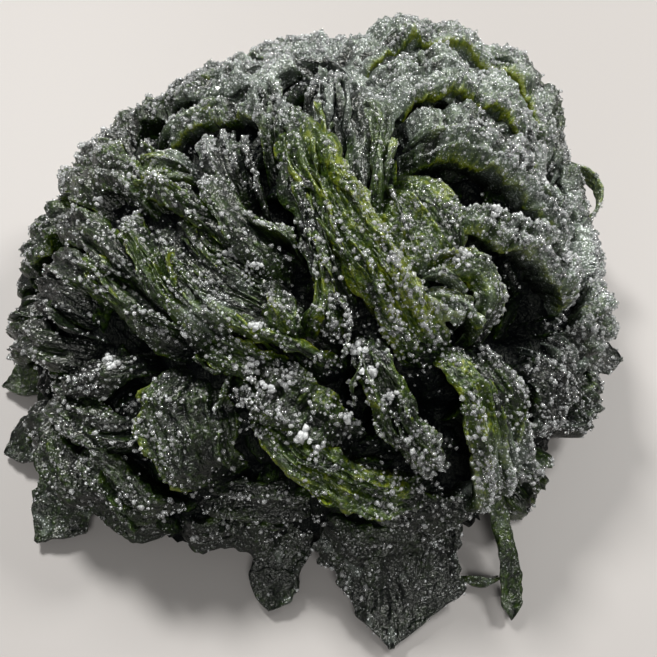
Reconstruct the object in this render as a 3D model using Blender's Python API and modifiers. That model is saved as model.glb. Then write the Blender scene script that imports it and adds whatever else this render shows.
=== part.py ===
"""Salted wakame: a loose heap of crinkled sea-vegetable fronds, crusted with coarse salt.

One node, `wakame`, is the whole heap as one fused solid: a dome-shaped core, the folded
fronds that show on it, the single leaves that stick out at its foot and the largest salt
crystals. It stands on z = 0; +X is to the right and -Y is towards the viewer.

Fronds are laid out on the unrolled dome. A point of it is (a, b) in millimetres: a runs to
the right, b runs away from the viewer, and the distance from (0, 0) is measured over the
dome's surface from its summit. GIRTH is that distance at the foot.
"""

import math
import random
from collections import namedtuple

import bmesh
import bpy
import numpy as np
from mathutils import Vector, noise
from mathutils.bvhtree import BVHTree

MM = 0.001

# the dome, mm
SUMMIT = np.array((-2.0, 8.0))
HEIGHT = 55.0
GIRTH = 104.0
FOOT_RADII = (70.0, 82.0, 75.0, 73.0, 73.0, 74.0, 63.0, 69.0)  # every 45 degrees, from +X
FOOT_STEP = math.radians(45)
FULLNESS = 0.87  # below 1 the dome is boxier than a half ellipse
LEAN_X, LEAN_Y = 0.0016, 0.003  # share of height gained for each mm along +X and +Y

# the core that the fronds lie on, mm
CORE_LIFT = 1.0  # over the dome
CORE_SEGMENTS, CORE_RINGS = 36, 16
CORE_SINK = 1.0  # how far its base goes below z = 0 before it is trimmed

# every frond, mm
ROOT_DEPTH = 6.0  # how far below the core a frond's keel and its ends reach
STATION, FEWEST_STATIONS = 7.5, 6  # spacing and least number of the cross-sections
STEEPNESS = 1.15  # how quickly the ends of a frond come up out of the heap
NARROW = 7.5  # a frond no wider than this has one pleat, a wider one has two
RIPPLE, RIPPLE_LENGTH = 1.0, 13.0
LOBE = 2.6  # height of the scallops on the frilled fronds

# cross-sections of a frond's back: places across it and the share of the crown at each
ONE_PLEAT = ((-1, 0), (0.1, 1), (1, 0))
TWO_PLEATS = ((-1, 0), (-0.55, 1), (0, 0.3), (0.5, 0.9), (1, 0))

SEED = 11
KEPT_SHARE = 0.5  # of the triangles that fusing makes
CUTTER_SIZE = 400.0

# A frond runs through three points. Its widths are given at the same three. lift is the
# height of its edges over the dome, crown the extra height of its middle, tilt lowers the
# right edge and raises the left one, and lobes counts the scallops of a frilled frond.
Frond = namedtuple("Frond", "start middle end widths lift crown tilt lobes", defaults=(0, 0))

# a loose lock that runs from the summit down across the middle of the heap
RIDGE = (
    Frond((-7, 19), (3, -7), (19, -37), (6, 10, 9), 7, 4, -1.5),
    Frond((4, 24), (9, -4), (23, -36), (8, 8, 7), 6, 3.5, 1),
    Frond((-12, 27), (-9, 11), (-5, -4), (8, 6, 4), 6, 3),
)

# fine pleated sheets that fan out from the left rim and meet at the middle
LEFT_FAN = (
    Frond((-30, 0), (-17, -16), (-4, -34), (9, 13, 12), 5, 1.5, -1.5),
    Frond((-38, 5), (-27, -14), (-17, -36), (6, 7, 8), 6, 2.5, -1),
    Frond((-20, 3), (-11, -9), (-3, -21), (4, 6, 5), 7, 2.5, -1.5),
    Frond((-60, 9), (-40, 0), (-25, -23), (7, 6, 6), 6, 3),
    Frond((-64, 1), (-47, -5), (-31, -20), (8, 8, 6), 5, 3),
    Frond((-65, -7), (-48, -11), (-24, -27), (9, 9, 8), 6, 3),
    Frond((-64, -14), (-45, -20), (-22, -31), (10, 10, 8), 6, 3),
    Frond((-52, 14), (-40, 7), (-27, -5), (8, 8, 6), 6, 3),
    Frond((-33, 2), (-25, -3), (-15, -9), (4, 5, 4), 7.5, 1.5),
    Frond((-28, 6), (-21, 1), (-13, -4), (4, 5, 4), 7.5, 1.5),
)

# a hood over a dark mouth at the upper left, with two frilled steps behind it
UPPER_LEFT = (
    Frond((-40, 13), (-25, 18), (-9, 12), (8, 11, 6), 8, 2, -2),
    Frond((-44, 21), (-30, 27), (-14, 23), (8, 11, 8), 7, 2, 0, 2),
    Frond((-24, 24), (-12, 28), (2, 30), (8, 12, 10), 4, 2, 0, 2),
    Frond((-20, 11), (-19, 5), (-17, -1), (6, 6, 5), 4, 2),
)

# frilled collars nested one behind another at the upper right
COLLARS = (
    Frond((10, 2), (32, 5), (62, -18), (7, 10, 11), 8, 4, 0, 5),
    Frond((7, 12), (32, 13), (54, -4), (7, 9, 8), 6, 3, 0, 4),
    Frond((1, 22), (28, 27), (54, 8), (7, 11, 9), 6, 3, 0, 5),
    Frond((3, 33), (30, 43), (60, 14), (9, 14, 9), 6, 3, 0, 6),
)

RIGHT_SIDE = (
    Frond((8, -7), (20, -10), (31, -14), (11, 17, 10), 4, 1.5),
    Frond((23, -4), (36, -10), (54, -20), (5, 6, 7), 6, 2.5),
    Frond((14, -25), (25, -21), (33, -33), (6, 7, 6), 7, 2.5),
    Frond((28, -32), (41, -50), (57, -79), (5, 9, 9), 7, 2.5, -1.5),
    Frond((34, -28), (48, -43), (57, -62), (8, 11, 9), 6, 3),
    Frond((42, -26), (56, -38), (63, -56), (8, 12, 10), 5, 3),
    Frond((52, -20), (64, -31), (69, -48), (8, 12, 9), 5, 3),
    Frond((50, -56), (58, -60), (66, -56), (6, 6, 4), 5, 2),
)

CENTRE = (
    Frond((-8, -21), (0, -26), (5, -35), (6, 7, 6), 7, 3),
    Frond((-13, -29), (-6, -33), (2, -38), (6, 7, 5), 6, 3),
    Frond((9, -30), (17, -48), (34, -63), (7, 9, 6), 7, 3),
    Frond((-16, -41), (8, -51), (31, -63), (6, 8, 6), 6, 2),
    Frond((-13, -46), (7, -59), (35, -68), (7, 10, 8), 7, 2),
    Frond((-9, -54), (9, -69), (37, -73), (6, 11, 9), 7, 2),
)

LOWER_LEFT = (
    Frond((-21, -38), (-24, -50), (-19, -72), (10, 18, 14), 5, 1.5, -2.5),
    Frond((-54, -38), (-41, -37), (-28, -33), (6, 7, 6), 6, 3),
    Frond((-66, -36), (-48, -44), (-34, -50), (10, 12, 10), 5, 3),
    Frond((-52, -48), (-42, -60), (-33, -80), (10, 11, 11), 6, 3),
    Frond((-66, -46), (-57, -58), (-48, -76), (10, 12, 11), 6, 3),
    Frond((-70, -20), (-60, -26), (-42, -31), (10, 10, 8), 6, 3),
)

FOOT = (
    Frond((-24, -66), (-25, -80), (-26, -94), (14, 15, 14), 4, 3),
    Frond((-8, -60), (-8, -76), (-9, -94), (10, 12, 14), 3, 3),
    Frond((8, -72), (10, -84), (10, -96), (12, 14, 14), 4, 3),
    Frond((36, -72), (40, -80), (40, -94), (12, 14, 14), 5, 3),
    Frond((-46, -72), (-48, -80), (-50, -88), (12, 14, 14), 4, 3),
    Frond((-70, -44), (-78, -50), (-86, -54), (14, 14, 12), 4, 3),
    Frond((-78, -14), (-86, -16), (-94, -18), (14, 16, 14), 4, 3),
    Frond((74, -34), (82, -38), (90, -42), (12, 14, 12), 3, 3),
    Frond((62, -64), (68, -70), (74, -76), (12, 14, 12), 3, 3),
)

SHOWN_FRONDS = RIDGE + LEFT_FAN + UPPER_LEFT + COLLARS + RIGHT_SIDE + CENTRE + LOWER_LEFT + FOOT

# The side away from the viewer is filled by a rule: rows of fronds that hang down it, each
# row at a distance from the summit with a number of fronds spread over an arc of bearings.
Row = namedtuple("Row", "distance first last count lift")
BACK_ROWS = (
    Row(57, 50, 172, 7, 1.5),
    Row(74, -20, 186, 13, 3),
    Row(91, -32, 200, 17, 3.5),
)
BACK_LENGTH = (28.0, 38.0)
BACK_WIDTH = (14.0, 19.0)
BACK_TAPER = (0.7, 1.0, 0.8)  # of the width, at the start, middle and end
BACK_RISE = 3.0  # the most that is added to a row's lift
BACK_CROWN = 3.0
BACK_LOBES = (0, 0, 2, 3)  # one of these
BACK_PLACE = (0.3, 0.7)  # where in its share of the arc one lies
BACK_SLANT = 55.0  # degrees, the most that one runs across the slope
ROUND_TO, ROUND_SLANT = 90.0, 0.6  # up to this bearing they run round the heap, turned less
NOTCH_BEARING, NOTCH_SPREAD, NOTCH_DEPTH = 115.0, 20.0, 3.0  # where the far rim is lower, mm deep

# A leaf lies flat: root and tip in mm from the origin, its greatest width, where along it
# that width is, how pointed its tip is (1 a blunt round, 2 a point) and how far it bows.
Leaf = namedtuple("Leaf", "root tip width widest point bow", defaults=(0.0,))
LEAVES = (
    Leaf((-3, -44, 17), (-9, -71, 1), 12, 0.6, 1.3, -1),
    Leaf((18, -40, 20), (18, -78, 1), 32, 0.55, 1.7, 0),
    Leaf((-50, -34, 16), (-64, -58, 1), 19, 0.6, 1.1, 0),
    Leaf((-62, -10, 14), (-84, -17, 1), 14, 0.6, 1.4, 0),
    Leaf((-60, -28, 14), (-78, -36, 1), 13, 0.6, 1.2, 0),
    Leaf((58, -4, 26), (80, -4, 9), 15, 0.5, 1.6, 0),
    Leaf((38, -44, 14), (46, -71, 1), 6, 0.7, 0.8, 3),
    Leaf((43, -62, 2), (34, -62, 1), 4, 0.4, 1.0, 1),
    Leaf((62, 30, 16), (82, 42, 1), 14, 0.6, 1.5, 2),
    Leaf((30, 70, 14), (38, 92, 1), 17, 0.6, 1.4, 0),
    Leaf((-24, 70, 14), (-34, 88, 1), 15, 0.6, 1.2, 2),
    Leaf((-60, 34, 14), (-78, 44, 1), 14, 0.6, 1.5, -2),
)

LEAF_THICKNESS = 1.8
LEAF_STATION, LEAF_STRIP = 5.0, 6.0  # spacing of its points along and across
LEAF_BASE = 0.7  # width at the root, of the greatest
LEAF_TAPER = 3.2  # less the point: the power by which it narrows to the tip
LEAF_END = 0.08  # width at the tip, of the greatest
LEAF_DROOP = 1.8  # above 1 it falls steeply from the heap and then lies flat
WAVE_HEIGHT, WAVE_ALONG, WAVE_ACROSS = 0.9, 5.2, 2.1  # mm; radians over its length and half width

# a narrow strip that stands out at the right and curls back to the heap
CURL_CENTRE = np.array((70.0, 38.0, 30.0))
CURL_RADIUS, CURL_STRETCH = 8.0, 1.25  # the stretch is along X
CURL_STATIONS = 10
CURL_TURN = (-80.0, 120.0)  # degrees from +X, seen from above
CURL_WIDTH, CURL_THICKNESS = 5.0, 1.6

# the largest crystals and clumps of salt, mm
SALT_COUNT = 60
SALT_RADII = (1.0, 1.7)
SALT_UNEVEN = (0.8, 1.15)  # of the radius
SALT_PROUD = 0.25  # of the radius, how far the centre is off the surface
SALT_FLOOR = 6.0  # none lies lower
SALT_UPWARD = 0.1  # none lies where the surface looks less upward
SALT_RISE = 0.12  # sine of the lowest angle that a ray comes from
AIM_REACH, AIM_HEIGHT, RAY_LENGTH = 40.0, 15.0, 300.0

# hollows between the fronds: place on the unrolled dome, radius and depth, mm
HOLLOWS = (
    ((-7, -10), 10, 6), ((-32, -29), 11, 6), ((-20, 6), 8, 5), ((25, 0), 9, 5),
    ((40, -23), 11, 8), ((0, -41), 7, 5), ((16, -57), 7, 5), ((30, -50), 8, 6),
    ((-10, -74), 9, 3), ((-40, -70), 8, 3),
)


def clear_scene():
    for item in list(bpy.data.objects):
        bpy.data.objects.remove(item, do_unlink=True)


def foot_radius(bearing):
    """Radius of the dome's foot at a bearing, eased between the eight given ones."""
    radii = np.array(FOOT_RADII)
    place = np.mod(bearing, math.tau) / FOOT_STEP
    index = np.floor(place).astype(int) % len(radii)
    ease = (1 - np.cos(np.pi * (place - np.floor(place)))) / 2
    return radii[index] * (1 - ease) + radii[(index + 1) % len(radii)] * ease


def dome(points):
    """World place, in mm, of points of the unrolled dome, which goes straight on down below its foot."""
    a, b = points[..., 0], points[..., 1]
    distance, bearing = np.hypot(a, b), np.arctan2(b, a)
    polar = np.minimum(distance / GIRTH, 1) * math.pi / 2
    reach = foot_radius(bearing) * np.sin(polar) ** FULLNESS
    x, y = reach * np.cos(bearing), reach * np.sin(bearing)
    z = HEIGHT * np.maximum(np.cos(polar), 0) ** FULLNESS * (1 + LEAN_X * x + LEAN_Y * y)
    z = z - np.maximum(distance - GIRTH, 0)
    return np.stack((SUMMIT[0] + x, SUMMIT[1] + y, z), axis=-1)


def over_dome(points, height):
    """The same, raised by a height along the dome's normal."""
    step = 0.5
    along_a, along_b = np.array((step, 0)), np.array((0, step))
    side_a = dome(points + along_a) - dome(points - along_a)
    side_b = dome(points + along_b) - dome(points - along_b)
    normal = np.cross(side_a, side_b)
    normal /= np.linalg.norm(normal, axis=-1, keepdims=True) + 1e-9
    return dome(points) + normal * np.asarray(height)[..., None]


def hollow_depth(points):
    """How far the hollows lower the core at points of the unrolled dome."""
    depth = np.zeros(points.shape[:-1])
    for centre, radius, deep in HOLLOWS:
        away = np.linalg.norm(points - np.array(centre, float), axis=-1)
        depth += deep * np.exp(-((away / radius) ** 2))
    return depth


def curve_through(start, middle, end, along):
    """Points and left-hand normals of the parabola through three points."""
    start, middle, end = (np.array(p, float) for p in (start, middle, end))
    control = 2 * middle - (start + end) / 2
    t = along[:, None]
    place = (1 - t) ** 2 * start + 2 * t * (1 - t) * control + t**2 * end
    heading = 2 * (1 - t) * (control - start) + 2 * t * (end - control)
    heading /= np.linalg.norm(heading, axis=1, keepdims=True)
    return place, np.stack((-heading[:, 1], heading[:, 0]), axis=1)


def new_object(name, mesh_data, collection):
    mesh = bpy.data.meshes.new(name)
    mesh_data.to_mesh(mesh)
    mesh_data.free()
    item = bpy.data.objects.new(name, mesh)
    collection.objects.link(item)
    return item


def make_core(collection):
    """The dome with its hollows, from a sphere whose lower half is flattened."""
    shape = bmesh.new()
    just_above_foot = math.pi / 2 - 1e-4
    bmesh.ops.create_uvsphere(shape, u_segments=CORE_SEGMENTS, v_segments=CORE_RINGS, radius=1)
    for vert in shape.verts:
        bearing = math.atan2(vert.co.y, vert.co.x)
        polar = math.acos(max(-1.0, min(1.0, vert.co.z)))
        distance = GIRTH * min(polar / (math.pi / 2), 1.0)
        point = np.array((distance * math.cos(bearing), distance * math.sin(bearing)))
        place = over_dome(point, CORE_LIFT - hollow_depth(point))
        if polar > just_above_foot:
            place[:2] = SUMMIT + (place[:2] - SUMMIT) * math.sin(polar)
            place[2] = -CORE_SINK
        vert.co = Vector(place) * MM
    return new_object("wakame", shape, collection)


def frond_rings(frond):
    """Cross-sections of a frond, mm: points over its pleated back and one along its keel."""
    length = math.dist(frond.start, frond.middle) + math.dist(frond.middle, frond.end)
    count = max(FEWEST_STATIONS, round(length / STATION) + 1)
    along = np.linspace(0, 1, count)
    place, left = curve_through(frond.start, frond.middle, frond.end, along)
    widths = np.interp(along, (0, 0.5, 1), frond.widths)
    risen = np.minimum(1, STEEPNESS * np.sqrt(np.sin(np.pi * along)))
    back = ONE_PLEAT if max(frond.widths) <= NARROW else TWO_PLEATS
    rings = []
    for i in range(count):
        ring = []
        for across, crowned in back:
            point = place[i] + left[i] * across * widths[i] / 2
            height = frond.lift + frond.tilt * across + frond.crown * crowned
            height += LOBE * abs(math.sin(math.pi * frond.lobes * along[i]))
            wave = noise.noise(Vector((point[0], point[1], 0)) / RIPPLE_LENGTH)
            height = height * risen[i] - ROOT_DEPTH * (1 - risen[i]) + RIPPLE * wave
            ring.append(over_dome(point, height))
        ring.append(over_dome(place[i], CORE_LIFT - ROOT_DEPTH - hollow_depth(place[i])))
        rings.append(ring)
    return rings


def make_frond(frond, collection):
    """A frond's closed solid, lofted through its cross-sections."""
    shape = bmesh.new()
    rings = [[shape.verts.new(Vector(p) * MM) for p in ring] for ring in frond_rings(frond)]
    for ring, following in zip(rings, rings[1:]):
        for i, vert in enumerate(ring):
            after = (i + 1) % len(ring)
            shape.faces.new((vert, following[i], following[after], ring[after]))
    shape.faces.new(rings[0])
    shape.faces.new(reversed(rings[-1]))
    bmesh.ops.triangulate(shape, faces=shape.faces)
    bmesh.ops.recalc_face_normals(shape, faces=shape.faces)
    return new_object("frond", shape, collection)


def heading(bearing):
    """Unit vector at a bearing in degrees from +X."""
    return np.array((math.cos(math.radians(bearing)), math.sin(math.radians(bearing))))


def back_fronds(chance):
    """Fronds that hang down the far side, in rows, each turned a little by chance."""
    fronds = []
    for row in BACK_ROWS:
        for i in range(row.count):
            share = (i + chance.uniform(*BACK_PLACE)) / row.count
            bearing = row.first + (row.last - row.first) * share
            turned = chance.uniform(-BACK_SLANT, BACK_SLANT)
            if bearing < ROUND_TO:
                turned = 90 + ROUND_SLANT * turned
            middle = row.distance * heading(bearing)
            half = chance.uniform(*BACK_LENGTH) / 2 * heading(bearing + turned)
            width = chance.uniform(*BACK_WIDTH)
            lift = row.lift + chance.uniform(0, BACK_RISE)
            lift -= NOTCH_DEPTH * math.exp(-(((bearing - NOTCH_BEARING) / NOTCH_SPREAD) ** 2))
            lobes = chance.choice(BACK_LOBES)
            widths = tuple(width * share for share in BACK_TAPER)
            fronds.append(Frond(middle - half, middle, middle + half, widths, lift, BACK_CROWN, 0, lobes))
    return fronds


def make_leaf(leaf, collection):
    """A thin wavy sheet from inside the heap down to the floor and out to its tip."""
    shape = bmesh.new()
    root, tip = np.array(leaf.root, float), np.array(leaf.tip, float)
    length = np.linalg.norm(tip - root)
    stations, strips = round(length / LEAF_STATION), max(2, round(leaf.width / LEAF_STRIP))
    bmesh.ops.create_grid(shape, x_segments=stations, y_segments=strips, size=1)
    side = np.array((-(tip - root)[1], (tip - root)[0], 0))
    side /= np.linalg.norm(side)
    for vert in shape.verts:
        along, across = (vert.co.x + 1) / 2, vert.co.y
        if along < leaf.widest:
            share = LEAF_BASE + (1 - LEAF_BASE) * math.sin(math.pi / 2 * along / leaf.widest)
        else:
            past = (along - leaf.widest) / (1 - leaf.widest)
            share = max(1 - past ** (LEAF_TAPER - leaf.point), LEAF_END)
        place = root + (tip - root) * along + side * (across * share * leaf.width / 2)
        place += side * leaf.bow * 4 * along * (1 - along)
        wave = 1 + math.sin(WAVE_ALONG * along + WAVE_ACROSS * across) * (1 - along / 2)
        place[2] = tip[2] + (root[2] - tip[2]) * (1 - along) ** LEAF_DROOP + WAVE_HEIGHT * wave
        vert.co = Vector(place) * MM
    bmesh.ops.triangulate(shape, faces=shape.faces)
    sheet = new_object("leaf", shape, collection)
    thicken(sheet, LEAF_THICKNESS)
    return sheet


def make_curl(collection):
    """The narrow strip at the right, an upright band bent round an arc."""
    shape = bmesh.new()
    bmesh.ops.create_grid(shape, x_segments=CURL_STATIONS, y_segments=1, size=1)
    first, last = (math.radians(angle) for angle in CURL_TURN)
    for vert in shape.verts:
        angle = first + (last - first) * (vert.co.x + 1) / 2
        out = CURL_RADIUS * np.array((CURL_STRETCH * math.cos(angle), math.sin(angle), 0))
        place = CURL_CENTRE + out + np.array((0, 0, CURL_WIDTH / 2 * vert.co.y))
        vert.co = Vector(place) * MM
    bmesh.ops.triangulate(shape, faces=shape.faces)
    band = new_object("curl", shape, collection)
    thicken(band, CURL_THICKNESS)
    return band


def thicken(sheet, thickness):
    solidify = sheet.modifiers.new("thickness", "SOLIDIFY")
    solidify.thickness = thickness * MM
    solidify.offset = 0
    apply_modifiers(sheet)


def apply_modifiers(item):
    """Replace an object's mesh by the one that its modifiers give."""
    graph = bpy.context.evaluated_depsgraph_get()
    graph.update()
    mesh = bpy.data.meshes.new_from_object(item.evaluated_get(graph))
    item.modifiers.clear()
    item.data = mesh


def fuse(body, collection, operation="UNION"):
    """One Boolean of the body with a whole collection, whose objects are then removed."""
    boolean = body.modifiers.new("fuse", "BOOLEAN")
    boolean.operation = operation
    boolean.operand_type = "COLLECTION"
    boolean.collection = collection
    boolean.solver = "MANIFOLD"
    apply_modifiers(body)
    for item in list(collection.objects):
        bpy.data.objects.remove(item, do_unlink=True)
    bpy.data.collections.remove(collection)


def simplify(body):
    """Merge the slivers that fusing leaves along its seams."""
    decimate = body.modifiers.new("simplify", "DECIMATE")
    decimate.ratio = KEPT_SHARE
    decimate.use_collapse_triangulate = True
    apply_modifiers(body)


def keep_main_piece(body):
    """Drop loose scraps and the walls of sealed hollows, which fills the hollows."""
    shape = bmesh.new()
    shape.from_mesh(body.data)
    bmesh.ops.triangulate(shape, faces=shape.faces)
    left = set(shape.faces)
    pieces = []
    while left:
        piece, front = set(), [left.pop()]
        while front:
            face = front.pop()
            piece.add(face)
            for edge in face.edges:
                beside = [other for other in edge.link_faces if other in left]
                if len(edge.link_faces) == 2 and beside:
                    left.discard(beside[0])
                    front.append(beside[0])
        pieces.append(piece)
    main = max(pieces, key=len)
    stray = [face for piece in pieces if piece is not main for face in piece]
    bmesh.ops.delete(shape, geom=stray, context="FACES")
    shape.to_mesh(body.data)
    shape.free()


def make_salt(body, collection, chance):
    """The largest crystals and clumps, half sunk where rays from all round meet the heap."""
    tree = BVHTree.FromObject(body, bpy.context.evaluated_depsgraph_get())
    placed = 0
    while placed < SALT_COUNT:
        bearing, rise = chance.uniform(0, math.tau), chance.uniform(SALT_RISE, 1)
        flat = math.sqrt(1 - rise * rise)
        away = Vector((flat * math.cos(bearing), flat * math.sin(bearing), rise))
        side, ahead = chance.uniform(-AIM_REACH, AIM_REACH), chance.uniform(-AIM_REACH, AIM_REACH)
        start = (Vector((side, ahead, AIM_HEIGHT)) + away * RAY_LENGTH) * MM
        hit, normal, _, _ = tree.ray_cast(start, -away)
        radius = chance.uniform(*SALT_RADII) * MM
        if hit is None or hit.z < SALT_FLOOR * MM or normal.z < SALT_UPWARD:
            continue
        shape = bmesh.new()
        bmesh.ops.create_icosphere(shape, subdivisions=1, radius=radius)
        for vert in shape.verts:
            vert.co *= chance.uniform(*SALT_UNEVEN)
            vert.co += hit + normal * (radius * SALT_PROUD)
        new_object("salt", shape, collection)
        placed += 1


def make_floor_cutter(collection):
    """A slab below z = 0 that trims everything to the surface the heap stands on."""
    shape = bmesh.new()
    bmesh.ops.create_cube(shape, size=CUTTER_SIZE * MM)
    bmesh.ops.translate(shape, verts=shape.verts, vec=(0, 0, -CUTTER_SIZE / 2 * MM))
    new_object("floor", shape, collection)


def make_material():
    """Wet dark green seaweed under a frost of salt."""
    material = bpy.data.materials.new("wakame")
    material.use_nodes = True
    shader = material.node_tree.nodes["Principled BSDF"]
    shader.inputs["Base Color"].default_value = (0.055, 0.075, 0.03, 1)
    shader.inputs["Roughness"].default_value = 0.5
    shader.inputs["Metallic"].default_value = 0
    return material


def new_collection(name):
    collection = bpy.data.collections.new(name)
    bpy.context.scene.collection.children.link(collection)
    return collection


def main():
    clear_scene()
    chance = random.Random(SEED)
    heap = make_core(new_collection("salted_wakame"))

    fronds = new_collection("fronds")
    for frond in SHOWN_FRONDS + tuple(back_fronds(chance)):
        make_frond(frond, fronds)
    for leaf in LEAVES:
        make_leaf(leaf, fronds)
    make_curl(fronds)
    fuse(heap, fronds)
    simplify(heap)

    below = new_collection("below")
    make_floor_cutter(below)
    fuse(heap, below, "DIFFERENCE")
    keep_main_piece(heap)

    salt = new_collection("salt")
    make_salt(heap, salt, chance)
    fuse(heap, salt)
    keep_main_piece(heap)

    heap.data.materials.clear()
    heap.data.materials.append(make_material())


main()
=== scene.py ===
"""The looks of a loose heap of salted wakame: crinkled fronds, single leaves and coarse salt.

Lengths are in millimetres up to the moment a mesh is made. Fronds are laid out on the
unrolled dome: (a, b) is a point with a to the right and b away from the camera, at its
distance over the dome's surface from the summit. GIRTH is that distance at the foot.
"""

import math
import random
from collections import namedtuple

import bmesh
import bpy
import numpy as np
from mathutils import Matrix, Vector, noise
from mathutils.bvhtree import BVHTree


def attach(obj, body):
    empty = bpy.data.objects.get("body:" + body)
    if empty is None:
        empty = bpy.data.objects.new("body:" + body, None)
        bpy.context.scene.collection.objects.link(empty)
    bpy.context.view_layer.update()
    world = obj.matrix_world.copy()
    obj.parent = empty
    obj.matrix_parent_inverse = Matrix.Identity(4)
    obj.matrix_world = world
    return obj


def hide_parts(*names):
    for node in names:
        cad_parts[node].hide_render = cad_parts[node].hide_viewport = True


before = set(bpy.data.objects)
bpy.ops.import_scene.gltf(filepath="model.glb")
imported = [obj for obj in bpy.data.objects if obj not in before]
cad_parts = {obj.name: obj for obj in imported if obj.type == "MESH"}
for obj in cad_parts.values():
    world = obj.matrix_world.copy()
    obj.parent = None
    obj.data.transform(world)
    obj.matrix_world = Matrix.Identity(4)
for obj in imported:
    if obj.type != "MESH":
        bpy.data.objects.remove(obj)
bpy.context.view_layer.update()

MM = 0.001
NODE, BODY = "wakame", "root"

# the dome, mm
SUMMIT = np.array((-2, 8))
HEIGHT = 55
GIRTH = 104
FOOT_RADII = (70, 82, 75, 73, 73, 74, 63, 69)  # every 45 degrees, from +X
FOOT_STEP = math.radians(45)
FULLNESS = 0.87
LEAN_X, LEAN_Y = 0.0016, 0.003
STEP = 0.5

# noise over a sheet, of a size across and along it, and along its edges, of a length and with a
# row of its own; the seed is added to the sheet's
Grit = namedtuple("Grit", "wide long seed")
EdgeGrit = namedtuple("EdgeGrit", "long row seed")
FOLD_BENDS, FOLD_SWAY = Grit(7, 14, 3), 1.6
SEED_GAP = 3.7  # how far apart two sheets lie in the noise of their fibres

# every frond, mm
STATIONS, STRIPS = 8, 6
ROOT_DEPTH, ROOT_SLOPE = 6, 1.15  # of both ends, which run down into the heap
RIPPLE, RIPPLE_LONG = 1, 13
LOBE = 2.6  # how high lobes are
NARROW = 7.5  # up to this width a frond has one pleat; both shapes by place across and height
ONE_PLEAT = ((-1, 0), (-0.5, 0.6), (0.1, 1), (0.6, 0.6), (1, 0))
TWO_PLEATS = ((-1, 0), (-0.55, 1), (0, 0.3), (0.5, 0.9), (1, 0))
# the underside, from the left edge to the right: place across and drop below the edge
UNDERSIDE = ((0.99, 0.6), (0.88, 1.7), (0.6, 3.6), (0, 11), (-0.6, 3.6), (-0.88, 1.7), (-0.99, 0.6))
FLOOR_GAP = 0.05
# mesh cells, along and across; frills are lower where cells are longer than the coarse one
SHOWN_CELL, FOOT_CELL, SHRED_CELL = (0.58, 0.34), (0.8, 0.5), (0.8, 0.4)
FILLER_CELL, BACK_CELL, COARSE_CELL = (1.3, 0.9), (1.05, 0.7), 1

# a frond's outline: how much its width, its line and its edges swing
WIDTHS, WIDTH_SWING = EdgeGrit(5, 0.5, 8), 0.3
BENDS, BEND_SWING = EdgeGrit(6.5, 0.5, 9), 1.6
TEETH, NICKS, BAYS, EDGE_SWING = EdgeGrit(1.2, 9, 6), EdgeGrit(2.6, 7, 15), EdgeGrit(7.5, 5, 16), 0.8

# a frond's relief: pleats along or frills across, coarse and fine, crumples and ruffled edges
PLEATS, PLEAT_HEIGHT = (Grit(1.5, 13, 0), Grit(0.75, 6, 1)), 1.6
FRILLS, FRILL_HEIGHT = (Grit(1.9, 7, 0), Grit(0.9, 3, 1)), 2.4
PLEAT_MIDDLE = 0.55
CRUMPLES = ((Grit(2.7, 3.6, 11), 1), (Grit(1.4, 1.9, 12), 0.5), (Grit(0.75, 0.95, 5), 0.6))
RUFFLES, RUFFLE_HEIGHT, RUFFLE_POWER = EdgeGrit(2.3, 9, 6), 2, 4

# a frond's looks: what is added to its tone, and the frost on its furrows, crests and edges. The tone carries
# painted light and shade: crests yellower and furrows darker, thin edges and the rim yellower as if lit
# through, roots darker where a frond dives into the heap
PATCHES, SPOTS, SPOT_LEAST = Grit(2.6, 5, 7), Grit(0.9, 2.2, 17), 0.12
EDGE_SPOTS, EDGE_POWER, RIM_POWER = EdgeGrit(4, 3, 18), 6, 5
TONE_LIFT, TONE_PLEAT_LIGHT_SHADE, TONE_PATCH, TONE_SPOT, TONE_EDGE_LIGHT, TONE_ROOT_SHADE = -0.02, 0.4, 0.4, 1.5, 0.5, -0.5
FROST_FURROW, FROST_CREST, FROST_EDGE = 0.35, 1.1, 0.3

# tone goes from 0, blue-black, over green to 1, yellow-green. grain is "along" for pleats that
# run down the frond and "across" for frills. rim is how much yellower its right-hand edge is painted: painted
# light, as if lit through the raised thin edge.
Frond = namedtuple(
    "Frond", "start middle end widths lift crown tone tilt lobes grain rim",
    defaults=(0, 0, "along", 0),
)


def laid(*rows):
    """Fronds from rows of their fields."""
    return [Frond(*row) for row in rows]


RIDGE = laid(
    ((-5, 19), (5, -10), (27, -38), (4, 10, 10), 6, 2, 0.5),
    ((-6, 22), (3.5, -10.5), (25, -39), (2.5, 5, 5), 7.5, 3, 0.58, -0.5),
    ((-5, 18), (6.5, -9), (29, -37), (2.5, 5.5, 6), 8, 3, 0.66, 0.5),
    ((-5, 8), (0.5, -12), (9.5, -34), (3, 5, 6), 6.5, 3, 0.15, -1),
    ((3, 30), (1.5, 14), (2.5, 0), (9, 7, 4), 4, 3, 0.1),
    ((7, 24), (6, 6), (9, -9), (6, 5, 4), 4, 3, 0.25),
    ((11, 20), (9.5, 4), (12, -10), (5, 4, 4), 5, 3, 0.45),
    ((-12, 27), (-8, 14), (-5, 0), (8, 6, 4), 5.5, 3, 0.3),
)

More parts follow.
